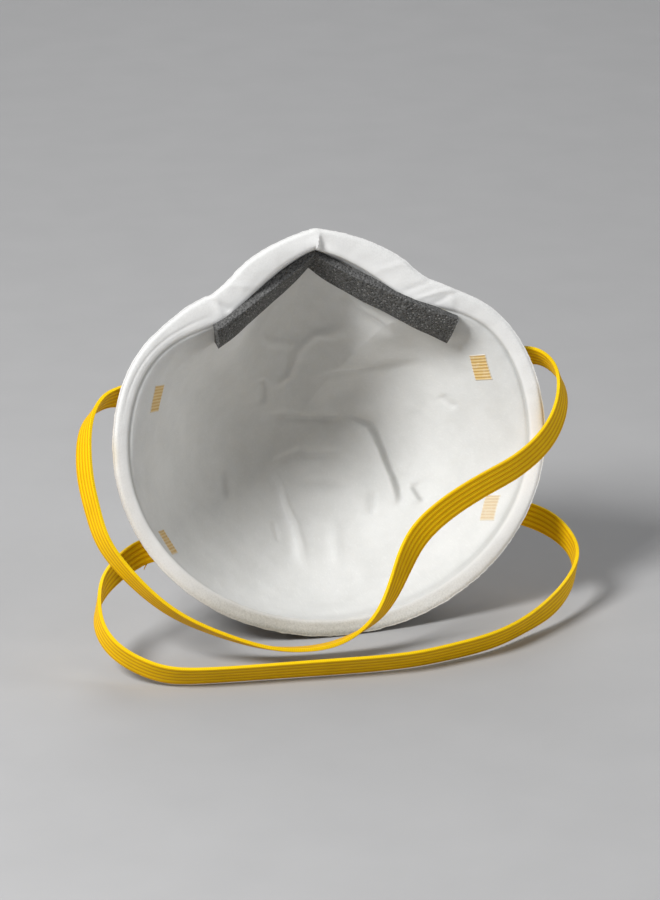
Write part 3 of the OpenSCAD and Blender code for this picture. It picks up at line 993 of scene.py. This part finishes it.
strap("upper_strap_band", "upper_strap", WELD_Z["upper"])
strap("lower_strap_band", "lower_strap", WELD_Z["lower"], frayed_at=11.5)

# ---------------------------------------------------------------- floor, light and camera, in metres
BACKDROP = (0.85, 0.86, 0.88)
SKY_LIGHT, SKY_SEEN = 0.17, 0.24
FLOOR_REACH = 6.0


def plain_floor():
    """A pale matte floor that fades into the background far away, where it glows with painted light."""
    corners = [(-1, -1), (1, -1), (1, 1), (-1, 1)]
    obj = make_object("floor", [(x * FLOOR_REACH, y * FLOOR_REACH, 0) for x, y in corners], [(0, 1, 2, 3)],
                      smooth=False)
    look = Look("pale_floor")
    base = look.ramp(look.noise(40.0, 4.0), (0.3, (0.40, 0.40, 0.405)), (0.7, (0.415, 0.415, 0.42)))
    distance = look.add("ShaderNodeVectorMath", operation="LENGTH")
    look.links.new(look.place, distance.inputs[0])
    # painted light: the floor glows in the backdrop's colour, the more the further out
    far_glow = look.add("ShaderNodeMapRange")
    for socket, value in (("From Min", 0.9), ("From Max", 3.0), ("To Min", 0.0), ("To Max", 0.16)):
        far_glow.inputs[socket].default_value = value
    look.links.new(distance.outputs["Value"], far_glow.inputs["Value"])
    obj.data.materials.append(look.finish(Base_Color=base, Roughness=0.75, Emission_Color=BACKDROP,
                                          Emission_Strength=far_glow.outputs["Result"]))


def area(name, place, aim, size, power, colour=(1, 1, 1)):
    """A round soft light."""
    data = bpy.data.lights.new(name, "AREA")
    data.shape, data.size, data.energy, data.color = "DISK", size, power, colour
    obj = bpy.data.objects.new(name, data)
    bpy.context.scene.collection.objects.link(obj)
    obj.location = place
    obj.rotation_mode = "QUATERNION"
    obj.rotation_quaternion = (Vector(aim) - Vector(place)).to_track_quat("-Z", "Y")


def sky():
    """It lights the mask weakly, but the camera sees it about as pale as the far floor."""
    world = bpy.data.worlds.new("studio")
    bpy.context.scene.world = world
    world.use_nodes = True
    graph = Graph(world.node_tree)
    seen = graph.add("ShaderNodeLightPath").outputs["Is Camera Ray"]
    strength = graph.plus(graph.times(seen, SKY_SEEN - SKY_LIGHT), SKY_LIGHT)
    background = graph.nodes["Background"].inputs
    graph.plug(BACKDROP, background["Color"])
    graph.plug(strength, background["Strength"])


plain_floor()
centre = Vector((0, 0, LIFT * MM))
area("key", (-0.76, -0.35, 0.85), centre, 0.42, 15.6, (1.0, 0.997, 0.99))
area("side", (1.25, -0.5, 0.5), centre, 0.6, 4.8, (0.98, 0.99, 1.0))
area("back", (0.2, 1.0, 0.9), centre, 0.8, 5.0)
bpy.context.scene.view_settings.view_transform = "Standard"
sky()

AZIMUTH, ELEVATION, DISTANCE = math.radians(-16.5), math.radians(20), 1.2
# the height the camera takes in at the mask, and how far its middle lies left of and below the mask's middle
VIEW_H, OFF_LEFT, OFF_DOWN = 0.265487, 0.00044, 0.00277
back = Vector((math.sin(AZIMUTH) * math.cos(ELEVATION), -math.cos(AZIMUTH) * math.cos(ELEVATION),
               math.sin(ELEVATION)))
right = Vector((math.cos(AZIMUTH), math.sin(AZIMUTH), 0))
cam_data = bpy.data.cameras.new("camera")
cam_data.lens = DISTANCE / VIEW_H * cam_data.sensor_width
cam_data.clip_start, cam_data.clip_end = 0.05, 50
camera = bpy.data.objects.new("camera", cam_data)
bpy.context.scene.collection.objects.link(camera)
camera.location = centre - right * OFF_LEFT - back.cross(right) * OFF_DOWN + back * DISTANCE
camera.rotation_mode = "QUATERNION"
camera.rotation_quaternion = (-back).to_track_quat("-Z", "Y")
bpy.context.scene.camera = camera
